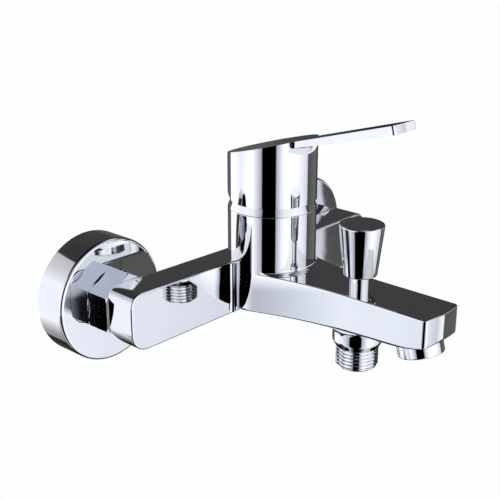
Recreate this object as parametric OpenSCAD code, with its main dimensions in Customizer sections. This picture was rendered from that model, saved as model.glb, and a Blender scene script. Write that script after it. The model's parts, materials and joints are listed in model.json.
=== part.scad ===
// Wall mounted bath and shower mixer with a single lever, a pull-up diverter and a shower outlet.
// Millimetres. +X runs to the right along the wall, +Y goes into the wall, +Z is up.
// The origin lies on the wall face, midway between the two wall inlets.

/* [Wall connection] */
// Distance between the two wall inlets
inlet_spacing = 150; // [146:1:154]
// Height of the wall inlets above the mixer's own inlet axis, set by the eccentric unions
union_throw = 6; // [3:0.5:8]
// Length of the thread that goes into the wall
wall_thread_length = 17; // [14:1:20]
// Radius of the wall cover
escutcheon_radius = 31.25; // [30:0.25:34]
// Depth of the wall cover
escutcheon_depth = 18; // [17.5:0.5:19]
// Width across the flats of a coupling nut
nut_across_flats = 30; // [30:0.5:32]
// Length of a coupling nut
nut_length = 13.9; // [13.5:0.1:15]

/* [Body casting] */
// Radius of the upright cylinder
body_radius = 22.6; // [22.4:0.1:24]
// Distance from the wall to the axis of the upright cylinder
body_distance = 56.5; // [56:0.5:58]
// Height of the cylinder's top edge over the inlet axis
body_top = 39.9; // [39.9:0.1:41]
// Thickness of the flat inlet arms
arm_thickness = 17.4; // [17:0.1:18]
// Reach of each arm's rounded end beyond the inlet axis
arm_end_reach = 14.5; // [14:0.5:16]
// Radius of the arms' upper outer corners
arm_upper_radius = 6.5; // [5:0.5:9]
// Radius of the arms' lower outer corners
arm_lower_radius = 10; // [6:0.5:11]

/* [Spout] */
// Distance from the wall to the tip of the spout
spout_reach = 160.4; // [160:0.5:175]
// Half of the spout's width
spout_half_width = 13.7; // [13.7:0.1:14.5]
// Height of the spout's flat top over the inlet axis
spout_top = 10.25; // [10:0.25:12]
// Lean of the aerator towards the user, in degrees
aerator_lean = 15; // [12:1:18]

/* [Diverter and shower outlet] */
// Distance from the wall to the diverter's axis
diverter_distance = 112.8; // [110:0.5:116]
// Travel of the pull-up diverter
diverter_travel = 7; // [5:0.5:7]
// Length of the shower outlet's thread
shower_thread_length = 11; // [9:0.2:14]

/* [Handle] */
// Height of the handle's lower edge over the inlet axis
hub_bottom = 44.3; // [44.2:0.1:45]
// Height of the handle's top where the lever leaves it
hub_top = 77; // [76:0.5:80]
// Slope of the handle's top, in degrees
hub_slope = 14.8; // [12:0.2:16]
// Distance from the wall to the end of the lever
lever_reach = 135.2; // [125:0.5:145]
// Half of the lever's width
lever_half_width = 8.8; // [7:0.1:9.5]
// Height of the lever's upper edge at its tip over the inlet axis
lever_tip_top = 94; // [92:0.5:97]
// Height of the pin that the handle tilts on, over the inlet axis
pivot_height = 31; // [31:0.5:31.5]
// Lean of the cartridge's stem when the water is off, in degrees
stem_lean = 12; // [10:0.5:12]

/* [Hidden] */
$fn = 72;
eps = 0.01;
screw_gap = 0.05;                 // radial play of a threaded pair, drawn as plain cylinders
half_inch_r = 10.48;              // major radius of a G 1/2 thread
three_quarter_r = 13.22;          // major radius of a G 3/4 thread

mixer_z = -union_throw;
inlet_x = inlet_spacing / 2;

// Distances from the wall along an inlet
escutcheon_wall = 1.2;
escutcheon_hole_r = 15.8;
nut_start = escutcheon_depth;
arm_back = nut_start + nut_length;
arm_front = arm_back + arm_thickness;
union_end = nut_start + 7;
washer_end = union_end + 2;
flange_end = washer_end + 2.2;
tail_thread_end = arm_back + 6.1;
tail_end = arm_back + 9.6;
tail_r = 9.4;
inlet_chamber_end = arm_back + 15;
check_start = washer_end + 1.4;
check_end = check_start + 12;
check_r = 6.75;
poppet_start = check_start + 2;
poppet_thickness = 1.2;
spider_start = check_start + 9;

// Spout
spout_root_bottom = -11;          // underside below the cylinder's axis
spout_rise = 0.046;               // slope of the underside towards the tip
tip_curve_start = 141;            // distance from the wall where the underside turns up
tip_curve_r = 70;
tip_sagitta = 1.2;
flank_start = 118;                // distance from the wall where the spout starts to flare
aerator_distance = 147.5;
aerator_z = -5;
aerator_r = 11;
aerator_thread_r = 10;

// Waterways
channel_r = 4;
inlet_port = [7, 5.5];            // cartridge inlet ports, off the body's axis
outlet_port_y = -6.5;
seat_z = 6;
bore_r = 17.7;
nut_bore_r = 19;
nut_seat_z = 30;
spout_channel_z = -2.5;
front_channel_z = 4.6;

// Diverter heights over the inlet axis
lower_seat_z = -9;
gland_bottom = lower_seat_z + 4 + diverter_travel;
gland_r = 8.45;
collar_top = 25;
knob_bottom = 16.8;
knob_top = 42.3;
boss_r = 12.4;
boss_end = -17;
boss_tip = -19.5;

// Cartridge heights over the inlet axis
base_top = 9;
fixed_top = 12;
moving_top = 15;
carrier_top = 20.5;
housing_top = 30;
ball_r = 2.5;
ball_drop = 13;

// Handle
hub_rise = tan(hub_slope);
hub_bevel_start = 7;              // behind the axis, where the rear bevel begins
hub_bevel_rise = 0.4;
notch_y = 19.7;                   // in front of the axis, where the lever leaves the hub
lever_root_thickness = 3.1;
lever_tip_thickness = 4.4;
screw_z = 57;

// ---------- placing ----------

module at_mixer() {
  translate([0, 0, mixer_z]) children();
}

// Local +Z runs from the wall towards the user along one inlet's axis.
module at_inlet(side) {
  at_mixer() translate([side * inlet_x, 0, 0]) rotate([90, 0, 0]) children();
}

module at_body_axis() {
  at_mixer() translate([0, -body_distance, 0]) children();
}

module at_diverter() {
  at_mixer() translate([0, -diverter_distance, 0]) children();
}

// Local +Z runs out of the spout along the water jet.
module at_aerator() {
  at_mixer() translate([0, -aerator_distance, aerator_z]) rotate([180 - aerator_lean, 0, 0]) children();
}

// ---------- shared shapes ----------

module ring(outer, inner, start, end) {
  difference() {
    translate([0, 0, start]) cylinder(r = outer, h = end - start);
    translate([0, 0, start - 1]) cylinder(r = inner, h = end - start + 2);
  }
}

module drill(r, start, end) {
  translate([0, 0, start]) cylinder(r = r, h = end - start);
}

module o_ring(r, section) {
  rotate_extrude() translate([r, 0]) circle(r = section / 2, $fn = 24);
}

// A threaded end with a chamfer at its far edge.
module threaded_end(r, start, end, chamfer = 1) {
  rotate_extrude()
    polygon([[0, start], [r, start], [r, end - chamfer], [r - chamfer, end], [0, end]]);
}

// A helical wire of round section, with its two ends cut square.
module coil(r, wire, start, end, turns) {
  sides = 6;
  steps = turns * 12;
  rise = end - start - wire;
  points = [
    for (i = [0:steps], k = [0:sides - 1])
      let (turn = i * 360 * turns / steps, around = k * 360 / sides, reach = r + wire / 2 * cos(around))
        [reach * cos(turn), reach * sin(turn), start + wire / 2 * (1 + sin(around)) + rise * i / steps]
  ];
  walls = [
    for (i = [0:steps - 1], k = [0:sides - 1])
      let (a = i * sides, b = (i + 1) * sides, n = (k + 1) % sides)
        [a + k, b + k, b + n, a + n]
  ];
  start_cap = [for (k = [0:sides - 1]) k];
  end_cap = [for (k = [sides - 1:-1:0]) steps * sides + k];
  polyhedron(points, concat(walls, [start_cap, end_cap]), convexity = 8);
}

// ---------- inlets ----------

module escutcheon(side) {
  bevel = 0.7;
  inner = escutcheon_radius - escutcheon_wall;
  face = escutcheon_depth - escutcheon_wall;
  color("silver") at_inlet(side) rotate_extrude(convexity = 4) polygon([
    [inner, 0], [escutcheon_radius, 0],
    [escutcheon_radius, escutcheon_depth - bevel], [escutcheon_radius - bevel, escutcheon_depth],
    [escutcheon_hole_r, escutcheon_depth], [escutcheon_hole_r, face], [inner, face]
  ]);
}

module escutcheon_seal(side) {
  outer = escutcheon_radius - escutcheon_wall;
  color("dimgray") at_inlet(side) ring(outer, outer - 3, 0, 2);
}

module eccentric_union(side) {
  middle_r = 17;
  color("silver") at_inlet(side) difference() {
    union() {
      mirror([0, 0, 1]) translate([0, union_throw, 0])
        threaded_end(half_inch_r, -3, wall_thread_length);
      translate([0, union_throw / 2, 2]) cylinder(r = middle_r, h = 12);
      threaded_end(three_quarter_r, 13, union_end, 0.8);
    }
    translate([0, union_throw, 0]) drill(7.5, -wall_thread_length - 1, 9);
    drill(8, 6, union_end + 1);
  }
}

module coupling_nut(side) {
  corner_r = nut_across_flats / 2 / cos(30);
  chamfer = 0.9;
  color("silver") at_inlet(side) difference() {
    intersection() {
      translate([0, 0, nut_start]) rotate(30) cylinder(r = corner_r, h = nut_length, $fn = 6);
      rotate_extrude() polygon([
        [0, nut_start], [corner_r - chamfer, nut_start], [corner_r, nut_start + chamfer],
        [corner_r, arm_back - chamfer], [corner_r - chamfer, arm_back], [0, arm_back]
      ]);
    }
    drill(three_quarter_r + screw_gap, nut_start - 1, flange_end);
    drill(half_inch_r + 0.2, flange_end - 1, arm_back + 1);
  }
}

module inlet_washer(side) {
  color("darkslategray") at_inlet(side) ring(12.9, 8.4, union_end, washer_end);
}

module strainer(side) {
  color("lightgray") at_inlet(side) difference() {
    drill(8.4, union_end + 0.6, union_end + 1.4);
    drill(0.8, union_end, washer_end);
    for (row = [1, 2, 3], i = [0:6 * row - 1])
      rotate(i * 60 / row) translate([2.3 * row, 0, 0]) drill(0.8, union_end, washer_end);
  }
}

module inlet_tail(side) {
  color("gold") at_inlet(side) difference() {
    union() {
      drill(12.9, washer_end, flange_end);
      drill(10, flange_end - 1, arm_back + 1);
      drill(half_inch_r, arm_back, tail_thread_end);
      drill(tail_r, tail_thread_end - 1, tail_end);
    }
    drill(check_r + screw_gap, washer_end - 1, check_end);
    drill(5.8, check_end - 1, tail_end + 1);
    ring(tail_r + 1, tail_r - 1.2, tail_thread_end + 0.8, tail_thread_end + 2.4);
  }
}

module tail_o_ring(side) {
  color("black") at_inlet(side) translate([0, 0, tail_thread_end + 1.6]) o_ring(tail_r - 0.58, 1.2);
}

module check_cage(side) {
  color("white") at_inlet(side) {
    difference() {
      drill(check_r, check_start, check_end);
      drill(3.8, check_start - 1, check_end + 1);
      drill(5.4, poppet_start, check_end + 1);
    }
    ring(2.2, 1.25, spider_start, spider_start + 2);
    for (a = [90, 210, 330]) rotate(a)
      translate([2, -0.5, spider_start]) cube([3.8, 1, 2]);
  }
}

module check_poppet(side) {
  color("orange") at_inlet(side) {
    drill(4.7, poppet_start, poppet_start + poppet_thickness);
    drill(1.2, poppet_start, spider_start + 1.2);
  }
}

module check_spring(side) {
  color("silver") at_inlet(side)
    coil(1.9, 0.5, poppet_start + poppet_thickness, spider_start, 4);
}

// ---------- body casting ----------

// Front view of both arms: slightly taller at the outer ends, with round outer corners.
module arm_outline() {
  end_x = inlet_x + arm_end_reach;
  top = 14.15;
  bottom = -15.2;
  upper = [end_x - arm_upper_radius, top - arm_upper_radius];
  lower = [end_x - arm_lower_radius, bottom + arm_lower_radius];
  for (side = [-1, 1]) scale([side, 1]) {
    polygon([
      [0, 13], [upper[0], top], upper, [end_x, upper[1]], [end_x, lower[1]], lower,
      [lower[0], bottom], [0, -14.8]
    ]);
    translate(upper) circle(r = arm_upper_radius);
    translate(lower) circle(r = arm_lower_radius);
  }
}

module arms() {
  translate([0, -arm_back, 0]) rotate([90, 0, 0]) linear_extrude(arm_thickness) arm_outline();
}

// Plan view of the vertical fillets where the arms' front faces meet the cylinder.
module arm_fillet_outline() {
  r = 2;
  y = -arm_front - r;
  x = sqrt(pow(body_radius + r, 2) - pow(y + body_distance, 2));
  for (side = [-1, 1]) scale([side, 1]) difference() {
    polygon([[x - 5, y + 5], [x, y + 5], [x, y], [x - 2.2, y - 0.5]]);
    translate([x, y]) circle(r = r);
  }
}

// Plan view of the spout: straight sides that flare in a long arc into the cylinder.
module spout_plan() {
  reach = flank_start - body_distance;
  flank_r = (reach * reach / (body_radius - spout_half_width) - body_radius - spout_half_width) / 2;
  flank_x = spout_half_width + flank_r;
  touch = body_radius / (body_radius + flank_r);
  tip_r = (spout_half_width * spout_half_width + tip_sagitta * tip_sagitta) / (2 * tip_sagitta);
  difference() {
    translate([-flank_x * touch, -flank_start])
      square([2 * flank_x * touch, reach * (1 - touch)]);
    for (side = [-1, 1]) translate([side * flank_x, -flank_start]) circle(r = flank_r, $fn = 360);
  }
  intersection() {
    translate([-spout_half_width, -spout_reach]) square([2 * spout_half_width, spout_reach - body_distance]);
    translate([0, -spout_reach + tip_r]) circle(r = tip_r, $fn = 180);
  }
}

function underside(distance) = spout_root_bottom + spout_rise * (distance - body_distance - 3.5);

// Side view of everything that the spout's underside bounds, from the cylinder's back to the tip.
module spout_side(top) {
  back = body_distance - body_radius - 1;
  curve_z = underside(tip_curve_start);
  polygon([
    [-back, underside(back)], [-back, top], [-tip_curve_start, top], [-tip_curve_start, curve_z]
  ]);
  intersection() {
    translate([-spout_reach - 1, curve_z - 1])
      square([spout_reach + 1 - tip_curve_start + eps, top - curve_z + 1]);
    translate([-tip_curve_start, curve_z] + tip_curve_r * [sin(atan(spout_rise)), cos(atan(spout_rise))])
      circle(r = tip_curve_r, $fn = 360);
  }
}

module side_slab(top) {
  width = 2 * body_radius + 2;
  translate([width / 2, 0, 0]) rotate([90, 0, -90]) mirror([1, 0, 0])
    linear_extrude(width) spout_side(top);
}

// Concave ring that blends a round post into a face above it.
module blend_ring(post_r, r, z) {
  translate([0, 0, z]) rotate_extrude() difference() {
    translate([post_r - 1, 0]) square([r + 1, r + 1]);
    translate([post_r + r, 0]) circle(r = r);
  }
}

module body_outside() {
  arms();
  translate([0, 0, -14.5]) linear_extrude(27.5) arm_fillet_outline();
  intersection() {
    translate([0, -body_distance, -20]) cylinder(r = body_radius, h = body_top + 20);
    side_slab(body_top);
  }
  intersection() {
    translate([0, 0, -20]) linear_extrude(40) spout_plan();
    side_slab(spout_top);
  }
  intersection() {
    translate([0, 0, -20]) linear_extrude(40) spout_plan();
    translate([0, -body_distance, 0]) mirror([0, 0, 1]) blend_ring(body_radius, 2, -spout_top - 2);
  }
  translate([0, -diverter_distance, 0]) {
    drill(boss_r, boss_end, 0);
    translate([0, 0, boss_tip]) cylinder(r1 = half_inch_r + 0.5, r2 = boss_r, h = boss_end - boss_tip);
  }
  intersection() {
    translate([0, 0, -20]) linear_extrude(25) spout_plan();
    translate([0, -diverter_distance, 0]) blend_ring(boss_r, 3.5, -12);
  }
}

module x_bore(r, from, to) {
  translate([from, 0, 0]) rotate([0, 90, 0]) cylinder(r = r, h = to - from);
}

module y_bore(r, from, to) {
  translate([0, -from, 0]) rotate([90, 0, 0]) cylinder(r = r, h = to - from);
}

// Cold and hot waterways, from each inlet's chamber to its cartridge port.
module inlet_waterways() {
  run_y = arm_back + 10.6;
  port_y = body_distance - inlet_port[1];
  translate([0, -run_y, 0]) {
    x_bore(channel_r, -inlet_x, -inlet_port[0]);
    x_bore(channel_r, inlet_port[0], inlet_x);
  }
  for (side = [-1, 1]) translate([side * inlet_port[0], 0, 0]) {
    y_bore(channel_r, run_y, port_y);
    translate([0, -port_y, 0]) drill(3.6, 0, seat_z + 1);
  }
}

module outlet_waterways() {
  translate([0, -body_distance + outlet_port_y, 0]) drill(4.4, spout_channel_z, seat_z + 1);
  translate([0, 0, spout_channel_z]) y_bore(4.5, body_distance - outlet_port_y, diverter_distance);
  translate([0, 0, front_channel_z]) y_bore(3.6, diverter_distance, aerator_distance);
}

module valve_body() {
  color("silver") {
    at_mixer() difference() {
      body_outside();
      inlet_waterways();
      outlet_waterways();
      translate([0, -body_distance, 0]) {
        drill(bore_r, seat_z, nut_seat_z + 1);
        drill(nut_bore_r, nut_seat_z, body_top + 1);
      }
      translate([0, -diverter_distance, 0]) {
        drill(gland_r + screw_gap, gland_bottom, spout_top + 1);
        drill(8, lower_seat_z, gland_bottom + 1);
        drill(5.5, boss_tip - 1, lower_seat_z + 1);
        drill(9 + screw_gap, boss_tip - 1, -12);
      }
      translate([0, -aerator_distance, aerator_z]) rotate([180 - aerator_lean, 0, 0]) {
        drill(aerator_thread_r + screw_gap, -7, 9);
        drill(aerator_r + screw_gap, 1, 9);
        drill(7.5, -10, 0);
      }
      for (side = [-1, 1]) translate([side * inlet_x, 0, 0]) {
        y_bore(half_inch_r + screw_gap, arm_back - 1, tail_thread_end);
        y_bore(tail_r + screw_gap, arm_back, inlet_chamber_end);
      }
    }
    at_aerator() ring(aerator_r, aerator_thread_r + screw_gap, -1.5, 1);
  }
}

// ---------- cartridge ----------

module ports(r, start, end) {
  for (side = [-1, 1]) translate([side * inlet_port[0], inlet_port[1], 0]) drill(r, start, end);
  translate([0, outlet_port_y, 0]) drill(r, start, end);
}

module cartridge_base() {
  color("white") at_body_axis() difference() {
    drill(17.3, seat_z, base_top);
    ports(3.6, seat_z - 1, base_top + 1);
    ports(5, seat_z - 1, seat_z + 1.5);
  }
}

module base_seals() {
  color("black") at_body_axis() difference() {
    ports(5, seat_z, seat_z + 1.5);
    ports(3.6, seat_z - 1, seat_z + 2);
  }
}

module fixed_disc() {
  color("ivory") at_body_axis() difference() {
    drill(14.5, base_top, fixed_top);
    ports(3.2, base_top - 1, fixed_top + 1);
  }
}

// The discs lie behind the axis while the water is off and slide forward as it opens.
disc_rest_y = ball_drop * sin(stem_lean);

module moving_disc() {
  pocket_r = 7;
  color("ivory") at_body_axis() translate([0, disc_rest_y, 0]) difference() {
    drill(11.5, fixed_top, moving_top);
    drill(pocket_r, fixed_top - 1, fixed_top + 1.2);
  }
}

module disc_carrier() {
  color("white") at_body_axis() translate([0, disc_rest_y, 0]) difference() {
    drill(12, moving_top, carrier_top);
    drill(ball_r + 0.12, moving_top + 0.4, carrier_top + 1);
    drill(4.6, carrier_top - 1.6, carrier_top + 1);
  }
}

module cartridge_housing() {
  color("whitesmoke") at_body_axis() difference() {
    drill(17.3, base_top, housing_top);
    drill(15.6, base_top - 1, 27);
    drill(10.9, 26, housing_top + 1);
  }
}

// Turns with the handle; its slot lets the stem tilt.
module cartridge_rotor() {
  slot_width = 8.3;
  slot_length = 15;
  color("lightblue") at_body_axis() difference() {
    union() {
      drill(15.5, carrier_top + 0.3, 26.9);
      drill(10.8, 26, pivot_height + 4);
    }
    translate([-slot_width / 2, -slot_length / 2, carrier_top - 1])
      cube([slot_width, slot_length, pivot_height - carrier_top + 6]);
    translate([0, 0, pivot_height]) x_bore(1.5, -20, 20);
  }
}

module stem_pin() {
  color("gray") at_body_axis() translate([0, 0, pivot_height]) x_bore(1.5, -10.2, 10.2);
}

module cartridge_stem() {
  stem = 8;
  leg_r = 1.5;
  color("goldenrod") at_body_axis() translate([0, 0, pivot_height]) rotate([stem_lean, 0, 0]) {
    difference() {
      translate([-stem / 2, -stem / 2, -4]) cube([stem, stem, 32]);
      x_bore(1.54, -20, 20);
    }
    drill(leg_r, -ball_drop, -3);
    translate([0, 0, -ball_drop]) sphere(r = ball_r);
  }
}

module cartridge_nut() {
  hex_r = 15 / cos(30);
  color("gold") at_body_axis() difference() {
    union() {
      drill(nut_bore_r - screw_gap, nut_seat_z, 36);
      translate([0, 0, 35]) cylinder(r = hex_r, h = 5, $fn = 6);
    }
    drill(11.2, nut_seat_z - 1, 41);
  }
}

// Cone above the body, with a spherical lip that the tilting hub passes over.
module cover_ring() {
  inner_r = 17.6;
  cone_top = [21.1, 43.9];
  wall = 1.6;
  dome_r = norm(cone_top - [0, pivot_height]);
  color("silver") at_body_axis() rotate_extrude(convexity = 4) {
    polygon([
      [inner_r, 36.4], [nut_bore_r - screw_gap, 36.4], [nut_bore_r - screw_gap, body_top],
      [body_radius, body_top], cone_top, [inner_r, cone_top[1]]
    ]);
    intersection() {
      translate([0, pivot_height]) difference() {
        circle(r = dome_r, $fn = 180);
        circle(r = dome_r - wall, $fn = 180);
      }
      translate([inner_r, cone_top[1] - wall]) square([cone_top[0] - inner_r, 8]);
    }
  }
}

// ---------- handle ----------

function hub_top_at(y) = hub_top + (y + notch_y) * -hub_rise;

// Side view of the hub, with y measured from the body's axis.
module hub_side() {
  back = body_radius + 0.1;
  polygon([
    [-back, hub_bottom], [-back, hub_top - 7], [-notch_y, hub_top - 4.4], [-notch_y, hub_top],
    [back, hub_top_at(back)],
    [back, hub_bottom + (back - hub_bevel_start) * hub_bevel_rise], [hub_bevel_start, hub_bottom]
  ]);
}

module along_x(width) {
  translate([-width / 2, 0, 0]) rotate([90, 0, 90]) linear_extrude(width) children();
}

module hub_cavity() {
  relief_r = 21.4;
  cavity_r = 20.2;
  skin = 8;
  boss = 17;
  drill(relief_r, hub_bottom - 1, hub_bottom + 8);
  difference() {
    intersection() {
      drill(cavity_r, hub_bottom - 1, hub_top);
      along_x(50) polygon([
        [-24, 40], [-24, hub_top_at(-24) - skin], [24, hub_top_at(24) - skin], [24, 40]
      ]);
    }
    translate([0, 0, pivot_height]) rotate([stem_lean, 0, 0])
      translate([-boss / 2, -boss / 2, 17]) cube([boss, boss, 40]);
  }
}

module handle_hub() {
  hole = 8.06;
  color("silver") at_body_axis() difference() {
    intersection() {
      drill(body_radius, hub_bottom, 85);
      along_x(60) hub_side();
    }
    hub_cavity();
    translate([0, 0, pivot_height]) rotate([stem_lean, 0, 0])
      translate([-hole / 2, -hole / 2, 10]) cube([hole, hole, 18.2]);
    translate([0, 0, screw_z]) {
      y_bore(2.5, -24, 3);
      y_bore(3.3, -24, -16);
    }
    lever_tenon(0);
  }
}

module lever_tenon(gap) {
  length = 14;
  cover = 1.3;
  along_x(12 - 2 * gap) polygon([
    [-notch_y - eps, hub_top - cover], [-notch_y + length, hub_top - length * hub_rise - cover],
    [-notch_y + length, hub_top - length * hub_rise - cover - 1.8], [-notch_y - eps, hub_top - cover - 1.8]
  ]);
}

// Plan view of the lever, rounded a little at the tip.
module lever_plan() {
  tip_r = 45;
  tip = body_distance - lever_reach;
  intersection() {
    translate([-lever_half_width, tip]) square([2 * lever_half_width, lever_reach - body_distance - notch_y]);
    translate([0, tip + tip_r]) circle(r = tip_r, $fn = 180);
  }
}

module lever_bar() {
  tip = body_distance - lever_reach;
  color("silver") at_body_axis() {
    intersection() {
      translate([0, 0, 60]) linear_extrude(50) lever_plan();
      along_x(30) polygon([
        [-notch_y, hub_top], [-notch_y, hub_top - lever_root_thickness],
        [tip, lever_tip_top - lever_tip_thickness], [tip, lever_tip_top]
      ]);
    }
    lever_tenon(0.02);
  }
}

module handle_set_screw() {
  color("dimgray") at_body_axis() translate([0, 0, screw_z]) difference() {
    y_bore(2.48, -8, 0.85);
    y_bore(1.25, -9, -5);
  }
}

module index_plug() {
  color("red") at_body_axis() translate([0, 0, screw_z]) intersection() {
    y_bore(3.28, -24, -17);
    translate([0, 0, -10]) cylinder(r = body_radius, h = 20);
  }
}

// ---------- diverter ----------

module diverter_knob() {
  foot_r = 8.2;
  head_r = 11;
  round_off = 0.8;
  color("silver") at_diverter() difference() {
    rotate_extrude() polygon([
      [0, knob_bottom], [foot_r - round_off, knob_bottom], [foot_r, knob_bottom + round_off],
      [head_r, knob_top - 0.5], [head_r - 0.5, knob_top], [0, knob_top]
    ]);
    drill(5.5, knob_bottom - 1, collar_top + 1);
    drill(2.5, collar_top, 37);
  }
}

module diverter_stem() {
  color("goldenrod") at_diverter() {
    drill(2.48, lower_seat_z - 0.5, 36.9);
    drill(3.6, lower_seat_z - 1.3, lower_seat_z);
  }
}

module diverter_valve() {
  color("white") at_diverter() ring(6.8, 2.48, lower_seat_z + 1, lower_seat_z + 3);
}

module diverter_seals() {
  color("black") at_diverter() {
    ring(6.6, 2.48, lower_seat_z + 3, lower_seat_z + 4);
    ring(6.6, 2.48, lower_seat_z, lower_seat_z + 1);
  }
}

module diverter_gland() {
  cavity_r = 5.6;
  color("silver") at_diverter() difference() {
    union() {
      drill(gland_r, gland_bottom, spout_top);
      drill(5.1, spout_top - 1, collar_top);
    }
    drill(cavity_r, gland_bottom - 1, 7);
    drill(2.53, 6, collar_top + 1);
    drill(3.6, 18, 19.8);
    translate([0, 0, front_channel_z]) y_bore(2.3, 0, 10);
    ring(gland_r + 1, gland_r - 0.9, 8.2, 9.6);
  }
}

module gland_o_ring() {
  color("black") at_diverter() translate([0, 0, 8.9]) o_ring(gland_r - 0.4, 0.9);
}

module stem_o_ring() {
  color("black") at_diverter() translate([0, 0, 18.9]) o_ring(3.07, 1.02);
}

module diverter_spring() {
  color("gray") at_diverter() coil(4.1, 0.7, lower_seat_z + 4, 7, 6);
}

// ---------- shower outlet ----------

module shower_nipple() {
  end = boss_tip - shower_thread_length;
  color("silver") at_diverter() difference() {
    union() {
      mirror([0, 0, 1]) threaded_end(half_inch_r, -boss_tip, -end, 1.2);
      drill(9, boss_tip - 1, -13.5);
    }
    drill(6.5, end - 1, -12);
    ring(10, 8, -16, -14.4);
  }
}

module nipple_o_ring() {
  color("black") at_diverter() translate([0, 0, -15.2]) o_ring(8.52, 1.0);
}

// ---------- aerator ----------

module aerator_housing() {
  color("silver") at_aerator() rotate_extrude(convexity = 4) polygon([
    [8.6, -6], [aerator_thread_r, -6], [aerator_thread_r, 1], [aerator_r, 1], [aerator_r, 7.4],
    [aerator_r - 0.6, 8], [7.9, 8], [7.9, 6.6], [8.6, 6.6]
  ]);
}

module aerator_insert() {
  color("lightgray") at_aerator() difference() {
    drill(8.55, -6, 4.4);
    drill(7.2, -3, 5);
    for (i = [0:11]) rotate(i * 30) translate([5.6, 0, 0]) drill(0.8, -7, 0);
    for (i = [0:5]) rotate(i * 60) translate([2.8, 0, 0]) drill(0.8, -7, 0);
  }
}

module aerator_screen() {
  pitch = 2.2;
  half = 3;
  color("gray") at_aerator() difference() {
    drill(8.55, 5, 6.5);
    for (i = [-half:half], j = [-half:half])
      if (norm([i, j]) * pitch < 7)
        translate([i * pitch - 0.8, j * pitch - 0.8, 4]) cube([1.6, 1.6, 4]);
  }
}

module aerator_gasket() {
  color("black") at_aerator() ring(9.9, 7.5, -7, -6);
}

escutcheon(-1);  // left_escutcheon
escutcheon(1);  // right_escutcheon
escutcheon_seal(-1);  // left_escutcheon_seal
escutcheon_seal(1);  // right_escutcheon_seal
eccentric_union(-1);  // left_eccentric_union
eccentric_union(1);  // right_eccentric_union
coupling_nut(-1);  // left_coupling_nut
coupling_nut(1);  // right_coupling_nut
inlet_washer(-1);  // left_inlet_washer
inlet_washer(1);  // right_inlet_washer
strainer(-1);  // left_strainer
strainer(1);  // right_strainer
inlet_tail(-1);  // left_inlet_tail
inlet_tail(1);  // right_inlet_tail
tail_o_ring(-1);  // left_tail_o_ring
tail_o_ring(1);  // right_tail_o_ring
check_cage(-1);  // left_check_cage
check_cage(1);  // right_check_cage
check_poppet(-1);  // left_check_poppet
check_poppet(1);  // right_check_poppet
check_spring(-1);  // left_check_spring
check_spring(1);  // right_check_spring
valve_body();
cartridge_base();
base_seals();
fixed_disc();
moving_disc();
disc_carrier();
cartridge_housing();
cartridge_rotor();
cartridge_stem();
stem_pin();
cartridge_nut();
cover_ring();
handle_hub();
lever_bar();
handle_set_screw();
index_plug();
diverter_knob();
diverter_stem();
diverter_valve();
diverter_seals();
diverter_gland();
gland_o_ring();
stem_o_ring();
diverter_spring();
shower_nipple();
nipple_o_ring();
aerator_housing();
aerator_insert();
aerator_screen();
aerator_gasket();
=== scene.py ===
"""Looks of a wall mounted bath mixer with a single lever, a diverter knob and a shower outlet.

Lengths inside the shape functions are millimetres, in a frame whose origin lies on the wall
between the two inlets and whose Z = 0 is the inlet axis. make() turns them into the row frame.
"""

import json
import math

import bmesh
import bpy
from mathutils import Matrix, Vector


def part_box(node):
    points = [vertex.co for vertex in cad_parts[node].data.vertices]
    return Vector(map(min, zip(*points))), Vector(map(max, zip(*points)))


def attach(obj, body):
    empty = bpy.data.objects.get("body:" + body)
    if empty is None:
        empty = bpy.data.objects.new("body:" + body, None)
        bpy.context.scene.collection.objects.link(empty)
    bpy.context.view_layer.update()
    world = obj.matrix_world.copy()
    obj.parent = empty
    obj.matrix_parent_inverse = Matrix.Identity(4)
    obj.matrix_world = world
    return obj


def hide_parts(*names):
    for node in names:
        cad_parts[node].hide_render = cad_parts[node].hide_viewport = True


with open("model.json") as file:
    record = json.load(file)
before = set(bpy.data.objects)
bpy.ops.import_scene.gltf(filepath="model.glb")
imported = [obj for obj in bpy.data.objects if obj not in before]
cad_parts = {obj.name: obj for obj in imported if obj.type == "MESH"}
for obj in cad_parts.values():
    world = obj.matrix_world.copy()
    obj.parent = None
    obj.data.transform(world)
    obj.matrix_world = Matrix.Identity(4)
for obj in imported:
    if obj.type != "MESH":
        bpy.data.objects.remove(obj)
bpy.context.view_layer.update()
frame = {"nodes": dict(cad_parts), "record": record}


def centre(node):
    """Middle of a CAD node's box, in millimetres."""
    low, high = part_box(node)
    return (low + high) / 2 * 1000


def size(node):
    """Lengths of a CAD node's box, in millimetres."""
    low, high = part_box(node)
    return (high - low) * 1000


# Places and main sizes come from the CAD nodes.
INLET = centre("right_coupling_nut")
INLET_X = INLET.x
MIXER_Z = INLET.z
NUT_BACK = INLET.y + size("right_coupling_nut").y / 2
ARM_BACK = INLET.y - size("right_coupling_nut").y / 2
NUT_FLATS = size("right_coupling_nut").x
BODY_Y = centre("cover_ring").y
BODY_R = size("cover_ring").x / 2
DIVERTER_Y = centre("diverter_knob").y
SPOUT_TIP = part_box("valve_body")[0].y * 1000
ARM_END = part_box("valve_body")[1].x * 1000
LEVER_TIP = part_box("lever_bar")[0].y * 1000
LEVER_HALF = size("lever_bar").x / 2
LEVER_TIP_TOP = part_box("lever_bar")[1].z * 1000 - MIXER_Z
HUB_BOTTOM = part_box("handle_hub")[0].z * 1000 - MIXER_Z
COVER_R = size("right_escutcheon").x / 2
COVER_DEPTH = size("right_escutcheon").y
THREAD_R = size("shower_nipple").x / 2
KNOB_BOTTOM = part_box("diverter_knob")[0].z * 1000 - MIXER_Z
KNOB_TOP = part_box("diverter_knob")[1].z * 1000 - MIXER_Z
KNOB_R = size("diverter_knob").x / 2
NIPPLE_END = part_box("shower_nipple")[0].z * 1000 - MIXER_Z

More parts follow.
